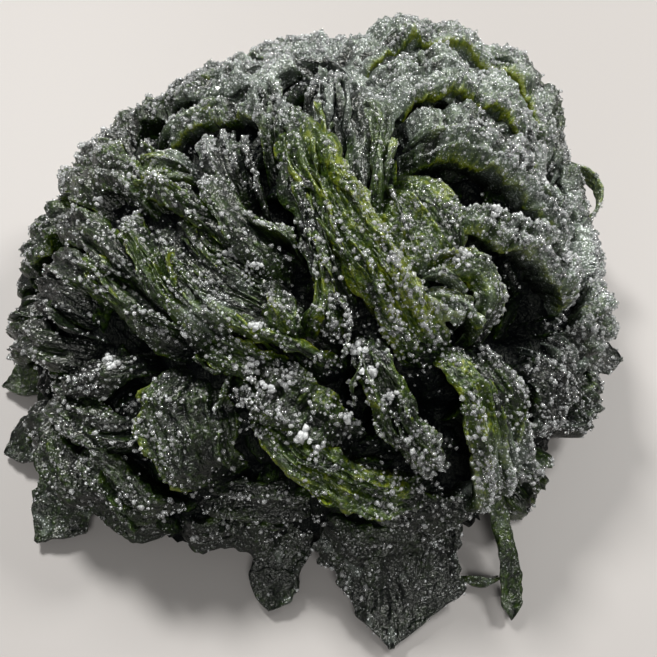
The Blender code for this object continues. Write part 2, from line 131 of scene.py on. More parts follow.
LEFT_FAN = laid(
    ((-28, -3), (-14, -21), (8, -42), (9, 14, 4), 5, 1.5, 0.22, -1.5),
    ((-20, 4), (-11, -10), (-4, -23), (4, 6, 5), 7.5, 2.5, 0.28, -1),
    ((-39, -1), (-26, -17), (-16, -36), (4, 5.5, 7), 7, 2.5, 0.42, -1),
    ((-51, -6), (-36, -20), (-21, -33), (5, 6.5, 6), 6, 3, 0.3),
    ((-55, 1), (-38, -11), (-23, -27), (5, 6, 5), 6, 3, 0.22),
    ((-64, 1), (-47, -5), (-31, -20), (8, 8, 6), 5, 3, 0.15),
    ((-65, -7), (-50, -13), (-33, -23), (9, 8, 6), 5, 3, 0.25),
    ((-68, -14), (-56, -18), (-44, -24), (10, 10, 7), 5, 3, 0.1),
    ((-52, 14), (-40, 7), (-27, -5), (8, 8, 6), 6, 3, 0.3),
    ((-33, 2), (-25, -3), (-15, -9), (4, 5, 4), 7.5, 1.5, 0.45),
)

UPPER_LEFT = laid(
    ((-34, 12), (-20, 17), (-5, 14), (6, 8, 5), 4.5, 2, 0.3, -0.8, 0, "across", 0.35),
    ((-46, 20), (-33, 27), (-16, 25), (8, 12, 9), 5, 2, 0.25, 0, 2, "across"),
    ((-24, 24), (-12, 28), (2, 30), (8, 12, 10), 4, 2, 0.2, 0, 2, "across"),
    ((-20, 15), (-16, 5), (-11, -4), (7, 8, 6), 3.5, 2, 0.2),
    ((-28, 0), (-21, -6), (-13, -9), (3, 4, 4), 7.5, 1.5, 0.5),
    ((-38, 10), (-30, 5), (-22, 4), (7, 8, 6), 5, 2, 0.5),
)

COLLARS = laid(
    ((12, 2.5), (34, 3), (58, -14), (4, 8, 8), 7.5, 3.5, 0.35, 0, 3, "across", 0.4),
    ((12, 8), (30, 11), (56, -3), (6, 7, 7), 6, 2.5, 0.25, -1, 4, "across"),
    ((10, 14), (28, 18), (54, 6), (7, 8, 8), 6.5, 2.5, 0.35, -1.5, 4, "across", 0.7),
    ((7, 20), (27, 25), (54, 12), (6, 8, 7), 5.5, 2.5, 0.3, 0, 4, "across"),
    ((4, 26), (26, 33), (55, 17), (7, 9, 8), 7, 2.5, 0.35, -1.5, 5, "across", 0.7),
    ((2, 33), (27, 41), (60, 20), (8, 10, 9), 7.5, 3, 0.3, 0, 5, "across", 0.3),
    ((3, 40), (32, 50), (66, 18), (9, 12, 10), 7.5, 3, 0.35, 0, 7, "across"),
    ((4, 20), (28, 26), (56, 8), (16, 24, 16), 3.5, 2, 0.25, 0, 7, "across"),
)

RIGHT_SIDE = laid(
    ((10, -1), (19, -9), (26, -20), (9, 17, 8), 4.5, 1.5, 0.45),
    ((23, -7), (41, -12), (64, -18), (5, 8, 8), 7, 3, 0.45, 0, 3, "across", 0.2),
    ((18, -19), (31, -19), (34, -33), (4, 7, 6), 6, 2.5, 0.5),
    ((20, -23.5), (26, -25), (31, -28), (4, 6, 5), 5.5, 2.5, 0.45),
    ((25, -33), (38, -49), (55, -80), (5, 11, 11), 7.5, 2.5, 0.6, -1.5),
    ((33, -32), (43, -46), (56, -66), (7, 9, 9), 6, 3, 0.3),
    ((51, -34), (58, -41), (63, -56), (8, 12, 10), 4.5, 3, 0.1),
    ((61, -24), (67, -34), (69, -50), (8, 12, 9), 3.5, 3, 0.1),
    ((50, -56), (58, -60), (66, -56), (6, 6, 4), 5, 2, 0.3),
)

CENTRE = laid(
    ((-7, -23), (-4.5, -30), (-2, -38), (4, 7, 4), 7, 3, 0.48, 1),
    ((-1, -16), (2, -25), (-1, -36), (2, 4, 4), 7.5, 3, 0.58),
    ((4, -22), (4.5, -29), (5.5, -37), (3, 5, 4), 6, 3, 0.25),
    ((-25, -15), (-11, -31), (10, -41), (2, 3.5, 3), 7.5, 2, 0.55),
    ((-20, -30), (-13, -36), (-5, -42), (6, 8, 6), 5, 2, 0.4),
    ((11, -31), (18, -47), (37, -67), (5, 9, 6), 7, 3, 0.4),
    ((-17, -38), (-2, -48), (13, -61), (8, 15, 8), 5.5, 2, 0.32, -1, 0, "across"),
    ((-13, -47), (8, -66), (38, -69), (5, 12, 8), 7, 2, 0.52, -1.5, 0, "along", 0.3),
)

LOWER_LEFT = laid(
    ((-21, -37), (-24, -50), (-20, -72), (10, 18, 14), 5, 1.5, 0.3, -2.5, 0, "along", 0.35),
    ((-56, -41), (-42, -38), (-31, -34), (6, 7, 5), 6, 3, 0.15),
    ((-66, -36), (-48, -46), (-34, -52), (10, 12, 10), 5, 3, 0.2),
    ((-52, -50), (-42, -62), (-36, -80), (10, 12, 12), 6, 3, 0.28),
    ((-66, -46), (-58, -58), (-52, -74), (10, 12, 11), 6, 3, 0.2),
    ((-72, -22), (-62, -28), (-46, -33), (10, 10, 7), 6, 3, 0.08),
)

FOOT = laid(
    ((-66, -62), (-54, -76), (-38, -88), (14, 17, 13), 1, 3, 0.15),
    ((-42, -84), (-22, -89), (0, -92), (12, 14, 12), 0.5, 2.5, 0.08, 0, 2),
    ((-32, -70), (-12, -78), (8, -80), (12, 15, 12), 1.5, 2.5, 0.1),
    ((0, -90), (28, -88), (56, -76), (12, 14, 12), 1.5, 3, 0.08, 0, 1),
    ((14, -76), (34, -76), (54, -70), (10, 14, 10), 3, 3, 0.1),
    ((-70, -44), (-78, -50), (-86, -54), (14, 14, 12), 4, 3, 0.2),
    ((-78, -14), (-86, -16), (-94, -18), (14, 16, 14), 4, 3, 0.1),
    ((74, -34), (82, -38), (90, -42), (12, 14, 12), 4, 3, 0.15),
    ((62, -64), (68, -70), (74, -76), (12, 14, 12), 4, 3, 0.3),
)

SHOWN = (
    ("ridge_fronds", RIDGE), ("left_fronds", LEFT_FAN), ("upper_left_fronds", UPPER_LEFT),
    ("collar_fronds", COLLARS), ("right_fronds", RIGHT_SIDE), ("centre_fronds", CENTRE),
    ("lower_left_fronds", LOWER_LEFT), ("foot_fronds", FOOT),
)

# low fronds behind the top
BEHIND = laid(
    ((1, 40), (-8, 50), (-22, 60), (11, 15, 12), 3, 2.5, 0.25, 0, 2, "across"),
    ((6, 47), (-3, 56), (-13, 68), (10, 14, 12), 2, 2.5, 0.15),
    ((-30, 47), (-25, 57), (-24, 70), (11, 14, 12), 3, 2.5, 0.3),
    ((-16, 34), (-24, 40), (-36, 42), (9, 12, 10), 3, 2.5, 0.2, 0, 2, "across"),
)

# rows of fronds down the far side, each at a distance over the dome and between two bearings
Row = namedtuple("Row", "distance first last count lift")
BACK_ROWS = (
    Row(57, 50, 172, 7, 1.5),
    Row(74, -20, 186, 13, 3),
    Row(91, -32, 200, 17, 3.5),
)
BACK_LENGTH, BACK_WIDTH = (28, 38), (14, 19)
BACK_TAPER = (0.7, 1, 0.8)  # of the width, at the start, middle and end
BACK_RISE, BACK_CROWN = 3, 3  # the most that is added to a row's lift
BACK_LOBES = (0, 0, 2, 3)  # one of these
BACK_PLACE = (0.3, 0.7)  # in its share of the arc
BACK_SLANT = 55  # degrees, the most that one runs across the slope
BACK_TONE, TONE_SWING, TONE_STEPS, TONE_SEED = 0.12, 0.38, (0.83, 7), 4
ROUND_TO, ROUND_SLANT = 90, 0.6  # up to this bearing they run round the heap, turned less
NOTCH_AT, NOTCH_WIDE, NOTCH_DEEP = 115, 20, 3  # where the far rim is lower, mm deep

Leaf = namedtuple("Leaf", "root tip width widest point bow tone", defaults=(0, 0.15))
LEAVES = (
    ((-2, -44, 17), (-9, -71, 1), 11.5, 0.6, -1.8, -1),
    ((18, -40, 20), (18, -78, 1), 32, 0.55, 1.7, 0, 0.08),
    ((-50, -34, 16), (-64, -58, 1), 18, 0.5, 0.9, 0, 0.3),
    ((-62, -10, 14), (-84, -17, 1), 14, 0.6, 1.4, 0, 0.5),
    ((-60, -28, 14), (-78, -36, 1), 13, 0.6, 1.2, 0),
    ((55, -6, 34), (79.5, -7, 10), 21, 0.5, 1.8, 0, 0.25),
    ((40, -44, 14), (45, -71, 1), 5, 0.7, -0.5, 2, 0.5),
    ((43, -62, 2), (34, -62, 1), 2, 0.4, 1, 1, 0.5),
    ((62, 30, 16), (82, 42, 1), 14, 0.6, 1.5, 2, 0.3),
    ((30, 70, 14), (38, 92, 1), 17, 0.6, 1.4, 0),
    ((-24, 70, 14), (-34, 88, 1), 15, 0.6, 1.2, 2, 0.4),
    ((-60, 34, 14), (-78, 44, 1), 14, 0.6, 1.5, -2),
)
LEAF_THICK, LEAF_CELL = 0.9, 0.7
LEAF_NECK, LEAF_SWELL = 0.7, 0.3  # of the width: at the root, and what is added to that
LEAF_END, BLUNTNESS = 0.04, 3.2  # of the width, at the tip; how round a tip with point 0 is
LEAF_EDGES = ((EdgeGrit(4.5, 5, 0), 0.3), (EdgeGrit(1.6, 7, 1), 0.2))
LEAF_DROOP, LEAF_DROP = 1.8, 0.45
LEAF_WAVE, WAVE_ALONG, WAVE_ACROSS, WAVE_FADE = 0.9, 5.2, 2.1, 0.5
LEAF_PLEATS, LEAF_CRUMPLES = ((Grit(2, 8, 0), 1.3), (Grit(0.9, 3, 3), 0.7)), ((Grit(4, 5, 2), 1.5),)
LEAF_TOP_GAP = 0.35  # the least height of its upper side
LEAF_GRAIN = (0.7, 1.6)
LEAF_PATCHES, LEAF_FROST = ((Grit(4, 6, 7), 0.4),), Grit(2.4, 2.4, 9)
FROST_LEAST, FROST_GAIN = 0.15, 1.2

CURL_CENTRE, CURL_RADIUS, CURL_TURN = np.array((69.5, 37, 30)), 7, (-110, 120)
CURL_WIDTH, CURL_THICK = (1.4, 4.6), 0.8  # at the loose end and at the root
SLIMNESS, OPENING, DROOP = 0.85, 0.45, 5
CURL_STEPS, CURL_STRIPS = 60, 9
CURL_BUMP, BUMP_STEPS, BUMP_SEED = 0.5, (5, 2), 5
CURL_TONE, CURL_FROST = 0.85, 1.1

HOLLOWS = (
    (-7, -11, 9, 7), (-33, -29, 10, 8), (-19, 9, 5, 3), (-9, 2, 4, 4), (24, -1, 5, 7),
    (42, -23, 11, 8), (31, -24, 6, 6), (9, -36, 3, 5), (13, -47, 6, 7), (17, -57, 7, 7),
    (28, -51, 6, 7), (38, -63, 6, 6), (52, -25, 7, 5), (-10, -74, 9, 3), (-40, -70, 8, 3),
)
# places on the unrolled dome where fine salt, and where loose crystals, lie thicker
FROSTY = (
    (45, -58, 14, 0.8), (24, -26, 9, 0.5), (40, -9, 12, 0.3), (-14, -22, 8, 0.4),
    (20, -3, 9, -0.35), (-18, 13, 14, 0.5), (-18, -27, 5, 0.4), (-62, -25, 14, -0.2),
    (-16, -8, 8, -0.2),
)
SALTY = (
    (12, -28, 26, 0.5), (13, -29, 4, 0.6), (15, -37, 4, 0.7), (23, -23, 6, 0.6),
    (45, -58, 12, 0.5), (18, 0, 9, -0.25), (10, -68, 13, -0.3), (52, -8, 16, 0.25),
)
# and where the leaf is greener or darker
GREEN = (
    (18, 0, 9, 0.12), (30, 22, 14, 0.08), (-45, -18, 5, 0.25), (-33, -7, 4, 0.2),
    (-31, 2, 5, 0.3), (22, -22, 8, 0.2), (-57, -36, 7, 0.25), (14, -13, 6, 0.15),
    (20, -30, 7, 0.15), (-60, -14, 8, -0.2), (60, -40, 14, -0.15), (20, -26, 5, 0.2),
    (-64, -67, 8, 0.2),
)

# small fronds that chance lays; all but crown and taper between two limits
Kind = namedtuple("Kind", "width taper rise crown tone length bend", defaults=(0, 0))
# painted shade: fillers are toned darker than the shown fronds, as they lie in the shade of the hollows
FILLER = Kind((5, 8), (0.7, 1, 0.7), (0, 2.5), 1.5, (-0.2, 0.15), (12, 20), (-3, 3))
RIB = Kind((0.6, 1.1), (0.6, 1, 0.6), (0.3, 0.9), 0.5, (-0.1, 0.2))
SHRED = Kind((0.8, 1.6), (0.6, 1, 0.4), (0.2, 1.2), 0.5, (-0.15, 0.1), (10, 24), (-2, 2))

# fillers, between and below the shown ones: how far out and back their middles lie
FILLER_REACH, FILLER_BACK = 96, 34
FILLER_SPACING, FILLER_STRAY = 12, 4
# painted shade: the fillers carry less frost and fewer specks, so the hollows stay dark
FILLER_SUNK, FILLER_SALT = 0.85, 0.3  # of a hollow's depth, and of the salt on the others

# the crumpled mass below all of them, toned near-black with little frost: painted shade, seen in the hollows
CORE_RINGS, CORE_POINTS, CORE_FIRST = 110, 260, 0.004
CORE_LIFT, CORE_SLANT, CORE_GAP = -0.9, 0.4, 0.1
CORE_PLEATS, CORE_HEIGHT = Grit(2.6, 11, 31), 2.6
CORE_CRUMPLES = ((Grit(3.5, 3.5, 32), 1.6), (Grit(1.7, 1.7, 33), 1.2))
CORE_SHADE_TONE, CORE_FROST, CORE_BARE = 0.3, 0.5, 0.4

# thin ribs along the most fibrous fronds, with their number, and loose shreds over all of them
RIBBED = (
    (LEFT_FAN[0], 9), (LEFT_FAN[2], 2), (LEFT_FAN[3], 2), (RIDGE[1], 3), (RIDGE[2], 4), (RIDGE[3], 3),
    (RIDGE[4], 2), (CENTRE[5], 2), (CENTRE[7], 3),
)
RIB_STRAY, RIB_SPAN = (0.2, 0.8), 1.7  # place in its share of the width, and the width all take up
RIB_START, RIB_END = (0.04, 0.25), (0.75, 0.96)  # of the frond's length
SHRED_COUNT = 130
SHRED_PLACE, SHRED_OFFSET, SHRED_HEIGHT = (0.15, 0.85), (-0.5, 0.5), 0.7  # along, across and up its crown
SHRED_TURN = 16  # degrees

# seeds of chance, and the first seed of the noise on each kind of frond
SEED, RIB_SEED = 11, 12
SHOWN_NOISE, BACK_NOISE, LEAF_NOISE, SHRED_NOISE, RIB_NOISE, FILLER_NOISE = 1, 100, 200, 300, 400, 600

# loose salt: how many grains, their radii in mm, how closely they swarm, how clouded they are
Salt = namedtuple("Salt", "name kind count radii clumping clouds seed")
SALT_LAYERS = (
    Salt("salt_crystals", "crystal", 7500, (0.4, 0.7), 1.3, (0, 0.4), 62),
    Salt("salt_small_crystals", "crystal", 6500, (0.26, 0.46), 1, (0, 0.4), 64),
    Salt("salt_grains", "chip", 12000, (0.14, 0.32), 0.8, (0, 0.7), 63),
)
SALT_SHAPES, CORNER_RADII, SALT_STRETCH = 12, (0.65, 1.2), (0.8, 1.2)
SIZE_POWER = 1.6  # small ones are more common
BATCH, TRIES = 4000, 3  # places drawn at a time, and rays at each of them
SALT_REACH, TRY_SPREAD = 0.99, 0.9
SALT_LEVEL, SALT_FLOOR = 7, 0.8  # depth is measured from this height over the dome
FALL_START, FALL_SPREAD, FALL_SLOPE = 20, 0.25, np.array((0, 0, 0.35))  # how grains come down
FURROW_DEPTH, FURROW_GRACE = 6, 0.4  # fewer lie deeper down
SALT_RISE = 0.35  # of its radius, a grain's centre over the leaf

# the largest clumps, where they lie on the unrolled dome, and their radii
CLUMPS = (
    (-12, -14, 1.9), (-9, -18, 1.3), (-8, -44, 1.5), (0, -55, 2.1), (3, -58, 1.5),
    (9, -51, 1.5), (-9, -31, 1.4), (-11, -38, 1.3), (10, -36, 1.6), (13, -40, 1.7),
    (17, -44, 1.4), (45, 3, 1.6), (31, -8, 1.5), (50, -12, 1.4), (26, -17, 1.5),
    (-47, 4, 1.3), (-44, -33, 1.4), (-36, -35, 1.5),
)
CLUMP_GRAINS = 14
CLUMP_SPREAD, CLUMP_SIZE, CLUMP_HEIGHT = 0.42, (0.25, 0.55), (0.1, 0.6)  # of the clump's radius
CLUMP_START = 30
CLUMP_CLOUDS, CLUMP_SEED, GRAIN_SEED = (0.3, 0.65), 7, 61

# where frost and crystals lie on the whole, by noise, side, foot and back
FROST_PATCHES, FROST_LIFT, FROST_VARIES, FROST_MOST = Grit(9, 9, 21), 0.35, 0.5, 1.5
FROST_SIDE, FROST_FROM, FROST_EASE = (0.6, 0.8), 12, 8  # toward the back and right
SIDE_SHARE, BEHIND_LOSS = 0.95, 0.75
FROST_FOOT, FOOT_LOSS = (70, 90), 0.35
BEHIND_REACH, BEHIND_BACK = (44, 66), (10, 30)
SWARMS, SWARM_LIFT = ((Grit(3.2, 3.2, 50), 1.1), (Grit(10, 10, 51), 1.1)), 0.55
CRYSTAL_LEAST, CRYSTAL_FROST, CRYSTAL_FOOT, BARE_FOOT = 0.25, 0.4, (64, 94), 0.6

# looks of the leaf: colour by tone, shine, and noise with its scale per metre and detail
LEAF_COLOURS = (
    (0, (0.0012, 0.0018, 0.0024)), (0.3, (0.003, 0.0066, 0.0022)), (0.55, (0.01, 0.022, 0.0022)),
    (0.8, (0.03, 0.052, 0.0022)), (1, (0.09, 0.113, 0.004)),
)
# the deep copy is a duller, shaded copy of the leaf for the filler and core fronds: painted shade
LEAF_SHINE, DEEP_SHADE_SHINE = (0.25, 0.45), (0.1, 0)  # specular level and coat
FIBRES, FIBRE_STRETCH, FIBRE_TONE, FIBRE_BUMP = (1, 2), (2, 0.8, 1), 0.9, 0.0004
CRUMPLED, CRUMPLE_TONE, CRUMPLE_BUMP = (900, 2), 0.9, 0.0006
MOTTLE = (260, 3)
TONE_MIDDLE = 0.93
# specks of fine salt, partly painted glints of the wet leaf: scale, least size and what frost adds to it
COARSE_SPECKS, FINE_SPECKS = (1150, -0.45, 0.22), (2600, -0.52, 0.3)
SPECK_SPREAD, SPECK_RIM, SPECK_SHARE, SPECK_BUMP = 0.6, (0, 0.16), (0, 0.85), 0.0006
SALT_AND_GLINT_COLOUR = (0.62, 0.66, 0.65)
HAZE_FROST, HAZE_SHARE, HAZE_COLOUR = (0.8, 1.7), (0, 0.38), (0.265, 0.31, 0.275)
MIX_SHARE, MIX_UNDER, MIX_OVER, MIX_RESULT = 0, 6, 7, 2  # sockets for colours

# the lights, metres
Light = namedtuple("Light", "name place size energy colour")
LIGHTS = (
    Light("key", (-0.35, 0.5, 0.8), 0.22, 14.5, (1, 0.985, 0.965)),
    Light("side", (0.6, 0.35, 0.7), 0.26, 9.5, (1, 0.99, 0.97)),
    Light("fill", (0.1, -0.6, 0.9), 0.4, 5, (1, 0.985, 0.97)),
)
LIGHT_AIM = (0, 0, 0.03)

# the camera: degrees above the horizon, roll and view angle; target and distance, mm
CAMERA_RISE, CAMERA_ROLL, CAMERA_ANGLE = 55, 2.2, 50
CAMERA_TARGET = np.array((1.9, -3.8, 16))
CAMERA_DISTANCE = 183.35


# ---- the dome ----


def foot_radius(bearing):
    """Radius of the dome's foot at a bearing, eased between the eight given ones."""
    radii = np.array(FOOT_RADII)
    place = np.mod(bearing, math.tau) / FOOT_STEP
    index = np.floor(place).astype(int) % len(radii)
    ease = (1 - np.cos(np.pi * (place - np.floor(place)))) / 2
    return radii[index] * (1 - ease) + radii[(index + 1) % len(radii)] * ease


def dome(points):
    """World place of points of the unrolled dome, which goes on straight down below its foot."""
    a, b = points[..., 0], points[..., 1]
    distance, bearing = np.hypot(a, b), np.arctan2(b, a)
    polar = np.minimum(distance / GIRTH, 1) * math.pi / 2
    reach = foot_radius(bearing) * np.sin(polar) ** FULLNESS
    x, y = reach * np.cos(bearing), reach * np.sin(bearing)
    z = HEIGHT * np.maximum(np.cos(polar), 0) ** FULLNESS * (1 + LEAN_X * x + LEAN_Y * y)
    z = z - np.maximum(distance - GIRTH, 0)
    return np.stack((SUMMIT[0] + x, SUMMIT[1] + y, z), axis=-1)


def dome_normal(points):
    """Unit normal of the dome at points of the unrolled dome."""
    along_a, along_b = np.array((STEP, 0)), np.array((0, STEP))
    side_a = dome(points + along_a) - dome(points - along_a)
    side_b = dome(points + along_b) - dome(points - along_b)
    normal = np.cross(side_a, side_b)
    return normal / (np.linalg.norm(normal, axis=-1, keepdims=True) + 1e-9)


def over_dome(points, height):
    """The same as dome, raised by a height along its normal."""
    return dome(points) + dome_normal(points) * np.asarray(height)[..., None]


def gathered_at(places, points):
    """The sum of round soft spots, each with a centre, radius and amount, at points of the dome."""
    total = np.zeros(points.shape[:-1])
    for a, b, radius, amount in places:
        away = np.linalg.norm(points - np.array((a, b), float), axis=-1)
        total += amount * np.exp(-((away / radius) ** 2))
    return total


def toward(angle):
    """Unit vector at an angle in radians from +X."""
    return np.array((math.cos(angle), math.sin(angle)))


def left_of(direction):
    """A direction turned left by a right angle."""
    return np.array((-direction[1], direction[0]))


def curve_of(frond, along):
    """Points and left-hand normals of the parabola through a frond's start, middle and end."""
    start, middle, end = (np.array(p, float) for p in (frond.start, frond.middle, frond.end))
    control = 2 * middle - (start + end) / 2
    t = along[:, None]
    place = (1 - t) ** 2 * start + 2 * t * (1 - t) * control + t**2 * end
    ahead = 2 * (1 - t) * (control - start) + 2 * t * (end - control)
    ahead /= np.linalg.norm(ahead, axis=1, keepdims=True)
    return place, np.stack((-ahead[:, 1], ahead[:, 0]), axis=1)


def widths_of(frond, along):
    """A frond's width at places along it."""
    return np.interp(along, (0, 0.5, 1), frond.widths)


def crowned_at(frond, across):
    """How far up its crown a frond's back is at places across it."""
    return np.interp(across, *zip(*(ONE_PLEAT if max(frond.widths) <= NARROW else TWO_PLEATS)))


def tapered(width, taper):
    """A frond's widths at its start, middle and end."""
    return tuple(width * part for part in taper)


def bent_line(kind, middle, ahead, chance):
    """The three points of a small frond that runs ahead through a place, bent to one side."""
    half = chance.uniform(*kind.length) / 2 * ahead
    return middle - half, middle + chance.uniform(*kind.bend) * left_of(ahead), middle + half


def small_frond(kind, points, lift, tone, chance):
    """A frond of a kind through three points."""
    widths = tapered(chance.uniform(*kind.width), kind.taper)
    lift, tone = lift + chance.uniform(*kind.rise), tone + chance.uniform(*kind.tone)
    return Frond(*points, widths, lift, kind.crown, tone)


# ---- noise ----


def value_noise(x, y, seed):
    """Smooth noise from 0 to 1 with one value at each whole x, y."""
    x, y = np.broadcast_arrays(x, y)
    cell_x, cell_y = np.floor(x), np.floor(y)
    ease_x, ease_y = x - cell_x, y - cell_y
    ease_x = ease_x * ease_x * (3 - 2 * ease_x)
    ease_y = ease_y * ease_y * (3 - 2 * ease_y)

    def corner(step_x, step_y):
        mixed = np.sin((cell_x + step_x) * 127.1 + (cell_y + step_y) * 311.7 + seed * 74.7) * 43758.5453
        return mixed - np.floor(mixed)

    near = corner(0, 0) * (1 - ease_x) + corner(1, 0) * ease_x
    far = corner(0, 1) * (1 - ease_x) + corner(1, 1) * ease_x
    return near * (1 - ease_y) + far * ease_y


def mottle(grit, across, along, seed=0):
    """Noise from -0.5 to 0.5 over a sheet."""
    return value_noise(across / grit.wide, along / grit.long, seed + grit.seed) - 0.5


def crumple(grits, across, along, seed=0):
    """The sum of noises over a sheet, each with a height."""
    return sum(height * mottle(grit, across, along, seed) for grit, height in grits)


def edge_noise(grit, along, side, seed):
    """Noise from -0.5 to 0.5 along a sheet's edges, -1 and 1, another on each."""
    return value_noise(along / grit.long, side * grit.row, seed + grit.seed) - 0.5


def folds(grit, across, along, seed=0):
    """Sharp-crested pleats, 0 in the furrows and 1 on the crests, that run along."""
    seed += grit.seed
    sway = FOLD_SWAY * mottle(FOLD_BENDS, across, along, seed)
    return 1 - np.abs(2 * value_noise((across + sway * grit.wide) / grit.wide, along / grit.long, seed) - 1)


def share_between(values, first, last):
    """How far values lie on the way between two, from 0 to 1."""
    return np.clip((values - first) / (last - first), 0, 1)


def frost_at(points):
    """How much fine salt lies at points of the unrolled dome, from 0 to FROST_MOST."""
    a, b = points[..., 0], points[..., 1]
    out = np.hypot(a, b)
    side = 1 / (1 + np.exp(-(FROST_SIDE[0] * a + FROST_SIDE[1] * b - FROST_FROM) / FROST_EASE))
    behind = share_between(out, *BEHIND_REACH) * share_between(b, *BEHIND_BACK)
    side *= SIDE_SHARE - BEHIND_LOSS * behind
    frost = FROST_LIFT + FROST_VARIES * mottle(FROST_PATCHES, a, b) + side
    frost = frost - FOOT_LOSS * share_between(out, *FROST_FOOT) + gathered_at(FROSTY, points)
    return np.clip(frost, 0, FROST_MOST)


def crystals_at(points):
    """How likely a loose crystal lies at points of the unrolled dome, 0 to 1."""
    a, b = points[..., 0], points[..., 1]
    swarm = np.clip(SWARM_LIFT + crumple(SWARMS, a, b), 0, 1)
    share = CRYSTAL_LEAST + CRYSTAL_FROST * frost_at(points) + gathered_at(SALTY, points)
    share = share * (1 - BARE_FOOT * share_between(np.hypot(a, b), *CRYSTAL_FOOT))
    return swarm * np.clip(share, 0, 1)


# ---- sheets ----


class Patch:
    """A tube of rings of vertices, open at both ends, with its looks, before meshes are made."""

    def __init__(self, rings, tone, frost, grain):
        self.places, self.quads = rings.reshape(-1, 3), ring_quads(*rings.shape[:2])
        self.tone, self.frost, self.grain = tone.reshape(-1), frost.reshape(-1), grain.reshape(-1, 3)


def ring_quads(rings, points):
    """Quads of a tube of rings that is open at both ends."""
    i, j = np.meshgrid(np.arange(rings - 1), np.arange(points), indexing="ij")
    after = (j + 1) % points
    quads = np.stack(
        (i * points + j, (i + 1) * points + j, (i + 1) * points + after, i * points + after), axis=-1
    )
    return quads.reshape(-1, 4)


def round_sheet(over, under):
    """Rings that go over a thin sheet and come back under it."""
    return np.concatenate((over, under[:, ::-1]), axis=1)


def grain_at(across, along, seed=0):
    """Where in the noise of the fibres each vertex of a sheet lies."""
    return np.stack((across, along, np.full_like(across, seed * SEED_GAP)), axis=-1)


Grid = namedtuple("Grid", "seed run travel across edge drop spread points risen")


def frond_grid(frond, seed, cell):
    """Rings of points of the unrolled dome, one at each station along a frond.

    A ring goes over the back from the right-hand edge, -1, to the left-hand one, 1, and comes
    back under it. drop is how far below the back a point lies, and risen is 0 at the roots.
    """
    length = math.dist(frond.start, frond.middle) + math.dist(frond.middle, frond.end)
    run = np.linspace(0, 1, max(STATIONS, round(length / cell[0])))
    strips = max(STRIPS, round(max(frond.widths) / cell[1]))
    under, deep = zip(*UNDERSIDE)
    drop = np.concatenate((np.zeros(strips), deep))
    ring = np.concatenate((np.linspace(-1, 1, strips), under))
    travel, across = np.meshgrid(run * length, ring, indexing="ij")
    edge = np.sign(across)

    place, left = curve_of(frond, run)
    widths = widths_of(frond, run)
    widths *= 1 + WIDTH_SWING * edge_noise(WIDTHS, run * length, 1, seed)
    rise = np.minimum(1, ROOT_SLOPE * np.sqrt(np.maximum(np.sin(np.pi * run), 0)))
    teeth = TEETH._replace(long=max(TEETH.long, 2 * cell[0]))
    ragged = sum(edge_noise(grit, travel, edge, seed) for grit in (teeth, NICKS, BAYS))
    spread = across * (widths[:, None] / 2 + EDGE_SWING * across**2 * ragged)
    sway = BEND_SWING * rise * edge_noise(BENDS, run * length, 1, seed)
    points = place[:, None, :] + left[:, None, :] * (spread + sway[:, None])[..., None]
    return Grid(seed, run, travel, across, edge, drop, spread, points, rise[:, None])


def frond_heights(frond, grid, coarse, fine, tall):
    """How high over the dome a frond's points lie, with coarse pleats this tall and fine ones."""
    on_back = grid.drop == 0
    crowned = np.where(on_back, crowned_at(frond, grid.across), 0)
    tilted = np.where(on_back, grid.across, grid.edge)
    height = frond.lift + frond.tilt * tilted + frond.crown * crowned
    height += LOBE * np.abs(np.sin(np.pi * frond.lobes * grid.run))[:, None]
    wave = [noise.noise(Vector((p[0], p[1], 0)) / RIPPLE_LONG) for p in grid.points.reshape(-1, 2)]
    height = height * grid.risen - ROOT_DEPTH * (1 - grid.risen)
    height += RIPPLE * np.array(wave).reshape(height.shape)
    ruffle = np.abs(grid.across) ** RUFFLE_POWER * edge_noise(RUFFLES, grid.travel, grid.edge, grid.seed)
    relief = tall * (coarse - PLEAT_MIDDLE) + fine - 0.5 + RUFFLE_HEIGHT * ruffle
    relief += crumple(CRUMPLES, grid.spread, grid.travel, grid.seed)
    return height + relief * grid.risen - grid.drop


def frond_looks(frond, grid, coarse, salted):
    """Tone and frost of a frond's points: whiter with frost on crests and edges, yellower in spots, with
    painted light and shade: crests yellower and furrows darker, thin edges yellower as if lit through, roots
    darker where they dive into the heap.
    """
    sheet = (grid.spread, grid.travel, grid.seed)
    spots = np.maximum(0, mottle(SPOTS, *sheet) - SPOT_LEAST)
    # painted light: the rim, a frond's raised right-hand edge, yellower as if lit through
    rim = frond.rim * np.maximum(-grid.across, 0) ** RIM_POWER
    # edges: whiter with frost, and yellower in spots as painted light through the thin tissue
    edges = np.abs(grid.across) ** EDGE_POWER
    edge_spots = edge_noise(EDGE_SPOTS, grid.travel, grid.edge, grid.seed) + 0.5
    # painted light and shade: crests yellower, furrows darker
    tone = frond.tone + TONE_LIFT + TONE_PLEAT_LIGHT_SHADE * (coarse - 0.5) + TONE_PATCH * mottle(PATCHES, *sheet)
    tone += rim + gathered_at(GREEN, grid.points) + TONE_SPOT * frond.tone * spots
    # thin edges yellower as if lit through them (painted light), roots darker where the frond dives into the
    # heap (painted shade)
    tone += TONE_EDGE_LIGHT * edges * edge_spots + TONE_ROOT_SHADE * (1 - grid.risen)
    frost = frost_at(grid.points) * (FROST_FURROW + FROST_CREST * coarse) + FROST_EDGE * edges
    return np.clip(tone, 0, 1), salted * frost * (1 - rim)


